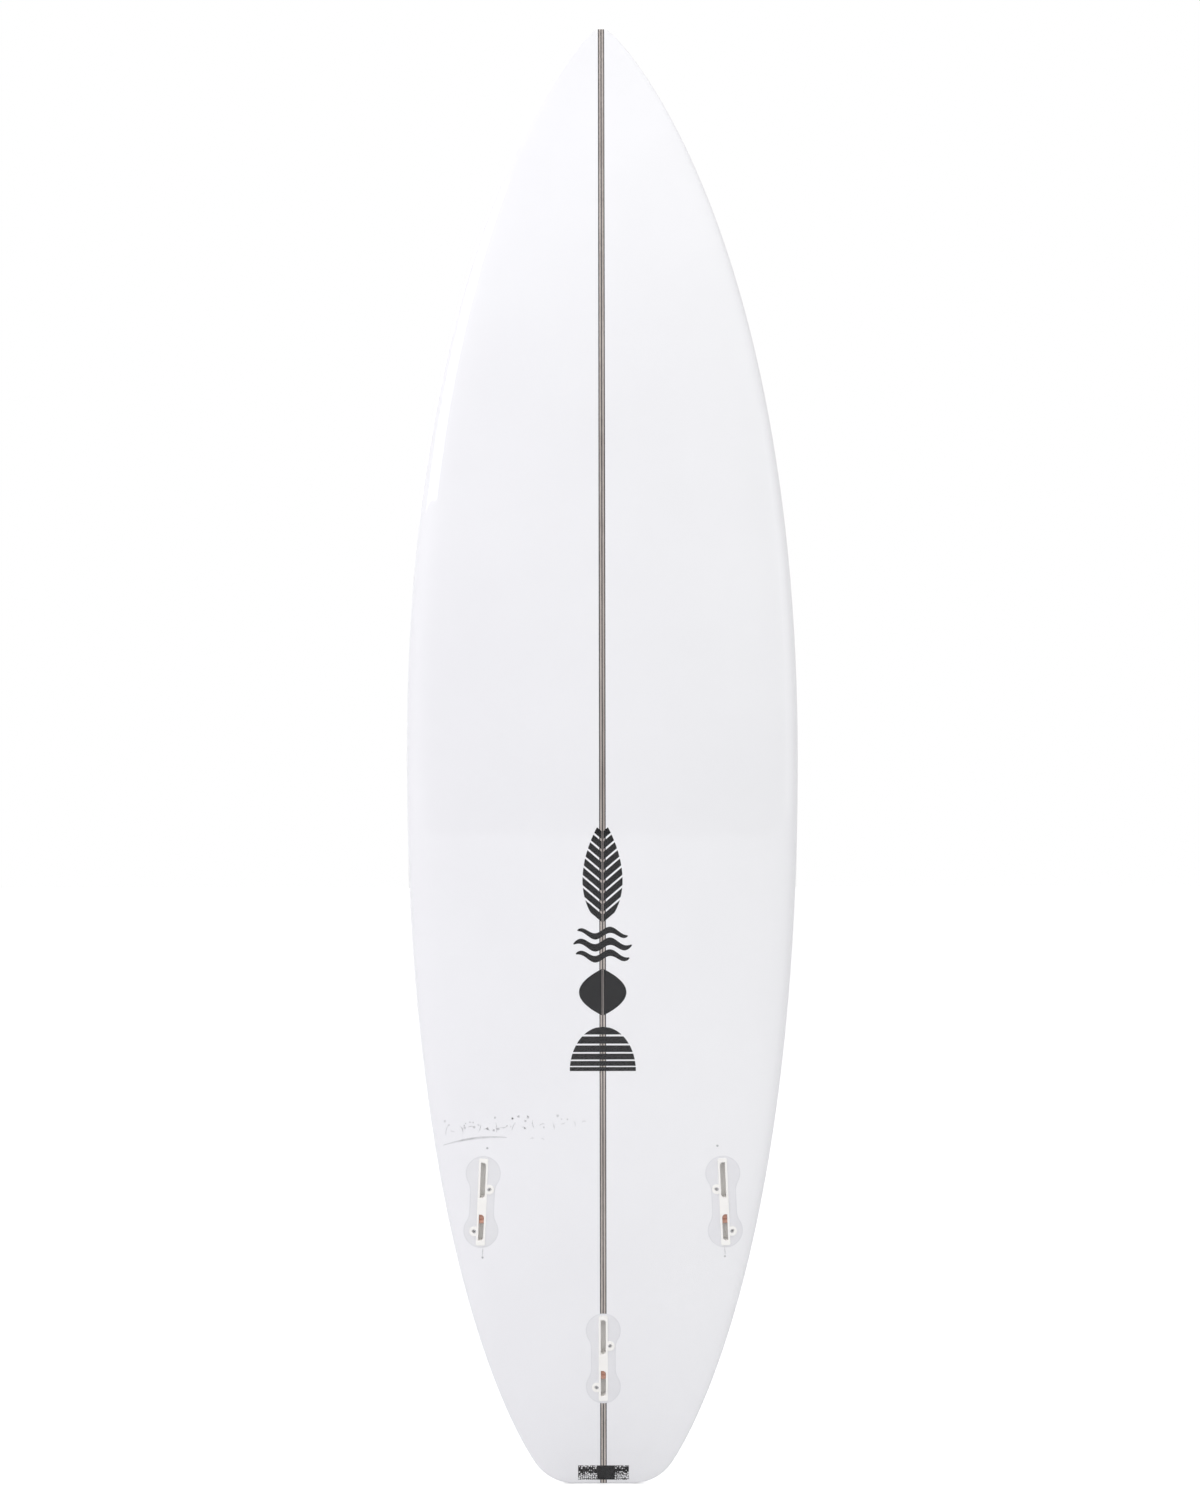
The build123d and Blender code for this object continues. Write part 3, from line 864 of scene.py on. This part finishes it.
pencil = {
    "width": 0.0011,
    "strokes": (  # start, end and bow of each stroke: x, z, x, z, bow
        (-0.193, 0.4395, -0.190, 0.4520, 0.0010),
        (-0.187, 0.4470, -0.182, 0.4450, -0.0012),
        (-0.176, 0.4520, -0.172, 0.4420, 0.0015),
        (-0.166, 0.4490, -0.159, 0.4500, 0.0016),
        (-0.153, 0.4440, -0.150, 0.4545, -0.0010),
        (-0.146, 0.4475, -0.139, 0.4455, 0.0014),
        (-0.132, 0.4560, -0.131, 0.4430, 0.0011),
        (-0.126, 0.4500, -0.118, 0.4515, -0.0015),
        (-0.112, 0.4450, -0.107, 0.4560, 0.0010),
        (-0.100, 0.4500, -0.094, 0.4470, 0.0012),
        (-0.086, 0.4585, -0.084, 0.4480, -0.0012),
        (-0.078, 0.4515, -0.071, 0.4535, 0.0014),
        (-0.062, 0.4555, -0.060, 0.4465, 0.0010),
        (-0.052, 0.4540, -0.046, 0.4560, -0.0010),
        (-0.036, 0.4575, -0.034, 0.4500, 0.0009),
        (-0.026, 0.4560, -0.021, 0.4570, 0.0008),
        (-0.090, 0.4350, -0.084, 0.4360, 0.0008),
        (-0.076, 0.4355, -0.072, 0.4340, 0.0008),
    ),
    "underline": (-0.196, 0.4275, -0.118, 0.4372, 0.0040),
    "underlineWidth": 0.0026,
    "smudges": 26,
    "smudgeArea": (-0.195, -0.030, 0.4440, 0.4600),  # left, right, low, high
    "smudgeSize": (0.0007, 0.0017),
    "smudgeRise": 0.035,
    "dots": ((-0.142, 0.424), (-0.1485, 0.288), (0.1405, 0.4265), (0.150, 0.289)),
    "dotRadius": 0.0014,
    "tickWidth": 0.0008,
    "ticks": ((-0.1487, 0.290, -0.1480, 0.300), (0.1502, 0.291, 0.1495, 0.301)),
}


# stroke: a line bowed like a parabola, with a width that swells and fades like a half sine
def stroke(x0, z0, x1, z1, bow, width):
    t = np.linspace(0, 1, 24)[:, None]
    along = np.array([x1 - x0, z1 - z0])
    size = np.hypot(*along)
    normal = np.array([-along[1], along[0]]) / size
    lift = 4 * bow * t * (1 - t)
    middle = np.array([[x0, z0]]) + t * along + lift * normal
    spread = np.linspace(-0.5, 0.5, 4)[None, :] * width * (0.25 + 0.75 * np.sin(pi * t))
    x = middle[:, :1] + spread * normal[0]
    z = middle[:, 1:] + spread * normal[1]
    return inkPatch(x[:, ::-1], z[:, ::-1])


# dot: rings of a disc
def dot(x0, z0, radius):
    turn = np.linspace(0, 2 * pi, 25)[None, :]
    out = np.linspace(0.05, 1, 4)[:, None] * radius
    return inkPatch(x0 + out * np.cos(-turn), z0 + out * np.sin(-turn))


marks = [stroke(*values, pencil["width"]) for values in pencil["strokes"]]
marks += [stroke(*pencil["underline"], pencil["underlineWidth"])]
random = np.random.default_rng(7)
left, right, low, high = pencil["smudgeArea"]
least, most = pencil["smudgeSize"]
for x, z, size in random.uniform((left, low, least), (right, high, most),
                                 (pencil["smudges"], 3)):
    marks.append(dot(x, z + pencil["smudgeRise"] * (x - left), size))
points, faces = joined(marks)
pencilMarks = makePiece("pencilMarks", points, faces, pencilMaterial("faintPencil", 0.03, 0.115))
fitPiece(pencilMarks, "print")
spots = [dot(x, z, pencil["dotRadius"]) for x, z in pencil["dots"]]
spots += [stroke(*values, 0.0, pencil["tickWidth"]) for values in pencil["ticks"]]
points, faces = joined(spots)
pencilDots = makePiece("pencilDots", points, faces, pencilMaterial("pencilDot", 0.10, 0.20))
fitPiece(pencilDots, "print")
print("prints and marks made")


finishes = {
    "plug_flange": mouldedMaterial("denseFoam", (0.820, 0.818, 0.845), (0.800, 0.798, 0.825), 0.7),
    "resin_bed": mouldedMaterial("milkyResin", (0.78, 0.78, 0.81), (0.73, 0.73, 0.76), 0.35),
    "plug_frame": mouldedMaterial("warmWhite", (0.970, 0.955, 0.932), (0.955, 0.938, 0.914), 0.38),
    "catch_roller": mouldedMaterial("orangeRoller", (0.74, 0.42, 0.32), (0.68, 0.38, 0.29), 0.35),
    "catch_cushion": mouldedMaterial("orangeRubber", (0.76, 0.43, 0.33), (0.70, 0.39, 0.30), 0.6),
    "front_screw": steelMaterial(),
    "leash_cup": mouldedMaterial("cupWhite", (0.86, 0.86, 0.85), (0.82, 0.82, 0.81), 0.4),
}
finishes["rear_screw"] = finishes["front_screw"]
finishes["leash_pin"] = finishes["front_screw"]

cushion = {
    "end": -0.0131,  # back of its pocket, along the plug
    "length": 0.009,
    "halfWidth": 0.0029,
    "halfHeight": 0.0028,
    "depth": 0.008,
    "corner": 0.0006,
    "ribs": 3,
    "groove": 0.00022,
    "press": 0.0016,  # how far the roller comes into it
}


# soft block: a rounded rectangle carried along the plug, drawn in round each end, with
# shallow grooves that follow a raised cosine
def cushionPiece(where):
    t = np.linspace(0, 1, 61)
    corner = cushion["corner"]
    away = np.minimum(t, 1 - t) * cushion["length"]
    gap = np.clip(corner - away, 0, corner)
    inset = corner - np.sqrt(corner**2 - gap**2)
    inset = inset + cushion["groove"] * np.cos(2 * pi * cushion["ribs"] * t) ** 8 * (gap == 0)
    outline = barOutline(2 * cushion["halfWidth"], 2 * cushion["halfHeight"], corner)
    sizes = np.array([cushion["halfWidth"], cushion["halfHeight"]])
    scale = 1 - inset[:, None, None] / sizes
    section = outline[None, :, :] * scale
    along = np.broadcast_to((cushion["end"] - cushion["length"] * t)[:, None], section.shape[:2])
    local = np.stack([section[..., 0], along, section[..., 1] - cushion["depth"]], -1)
    place = plugPlaces[where]
    points = place["origin"] + local @ place["axes"]
    grid, ring = tube(*along.shape)
    faces = quads(ring).tolist() + [grid[0][::-1].tolist(), grid[-1].tolist()]
    name = "catchCushion" + where.capitalize()
    piece = makePiece(name, points.reshape(-1, 3), faces, finishes["catch_cushion"], 50)
    fitPiece(piece, "cushion", "catch_cushion_" + where)
    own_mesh(piece)


for where in plugPlaces:
    cushionPiece(where)
for name, node in frame["nodes"].items():
    for start, material in finishes.items():
        if name.startswith(start):
            node.data.materials.clear()
            node.data.materials.append(material)
print("plugs finished")


stage = {
    "floorHalf": 15.0,
    "floorGlow": 0.46,
    "worldLight": 1.6,
    "worldAcross": ((0.0, 0.74), (0.22, 1.08), (0.40, 1.50), (0.62, 1.36), (0.85, 1.04),
                    (1.0, 0.88)),  # from the left to the right
    "worldBehind": 0.16,  # share of the light left straight in front of the bottom
    "worldFront": -0.80,  # how far round that dimness reaches
    "aim": (0, 0, 1.0),
    "key": {"at": (-1.9, -2.3, 3.0), "size": 2.0, "power": 38.0},
    "fill": {"at": (3.2, -2.8, 1.8), "size": 2.4, "power": 6.0},
    "back": {"at": (-2.3, 2.9, 2.7), "size": 1.8, "power": 34.0},
}
reach = stage["floorHalf"]
floorMesh = bpy.data.meshes.new("floor")
floorMesh.from_pydata([(-reach, -reach, 0), (reach, -reach, 0), (reach, reach, 0),
                       (-reach, reach, 0)], [], [(0, 1, 2, 3)])
floor = bpy.data.objects.new("floor", floorMesh)
bpy.context.scene.collection.objects.link(floor)
r = Recipe("paleFloor")
pale = r.ramp(r.noise(2.0, 2.0), [(0.3, (0.69, 0.69, 0.70)), (0.7, (0.71, 0.71, 0.72))])
diffuse = r.add("BsdfDiffuse", Color=pale)
seen = r.add("LightPath", out="Is Camera Ray")
shine = r.add("Math", settings={"operation": "MULTIPLY"}, i0=seen, i1=stage["floorGlow"])
glow = r.add("Emission", Color=(1, 1, 1, 1), Strength=shine)
floorMesh.materials.append(r.finish(r.add("AddShader", i0=diffuse, i1=glow)))

# light whose strength goes from left to right, dim straight in front of the bottom. The
# camera sees plain white.
world = bpy.data.worlds.new("studio")
bpy.context.scene.world = world
r = Recipe("studio", world)
across = r.add("SeparateXYZ", Vector=r.add("TexCoord", out="Generated"))
spread = r.add("MapRange", Value=across, i1=-1.0, i2=1.0)
fade = r.add("FloatCurve", Value=spread)
curve = fade.node.mapping.curves[0]
while len(curve.points) < len(stage["worldAcross"]):
    curve.points.new(0.5, 0.5)
for point, (spot, level) in zip(curve.points, stage["worldAcross"]):
    point.location = (spot, level / stage["worldLight"])
fade.node.mapping.update()
scaled = r.add("Math", settings={"operation": "MULTIPLY"}, i0=fade, i1=stage["worldLight"])
ahead = r.add("SeparateXYZ", out="Y", Vector=r.add("TexCoord", out="Generated"))
front = r.add("MapRange", settings={"interpolation_type": "SMOOTHSTEP"}, Value=ahead,
              i1=-1.0, i2=stage["worldFront"], i3=stage["worldBehind"], i4=1.0)
both = r.add("Math", settings={"operation": "MULTIPLY"}, i0=scaled, i1=front)
light = r.add("Background", Strength=both)
backdrop = r.add("Background", Strength=1.0, Color=(1, 1, 1, 1))
seen = r.add("LightPath", out="Is Camera Ray")
r.finish(r.add("MixShader", i0=seen, i1=light, i2=backdrop), "World")

aim = Vector(stage["aim"])
for name in ("key", "fill", "back"):
    values = stage[name]
    lamp = bpy.data.lights.new(name, "AREA")
    lamp.shape = "SQUARE"
    lamp.size = values["size"]
    lamp.energy = values["power"]
    holder = bpy.data.objects.new(name, lamp)
    holder.location = values["at"]
    holder.rotation_euler = (aim - holder.location).to_track_quat("-Z", "Y").to_euler()
    bpy.context.scene.collection.objects.link(holder)

camera = {"at": (-0.0028, -3.4645, 0.9127), "lens": 66.76, "roll": 0.10}
lens = bpy.data.cameras.new("camera")
lens.lens = camera["lens"]
lens.sensor_width = 36.0
viewer = bpy.data.objects.new("camera", lens)
viewer.location = camera["at"]
viewer.rotation_euler = (radians(90), radians(camera["roll"]), 0)
bpy.context.scene.collection.objects.link(viewer)
bpy.context.scene.camera = viewer
bpy.context.scene.view_settings.view_transform = "Standard"
print("stage set")
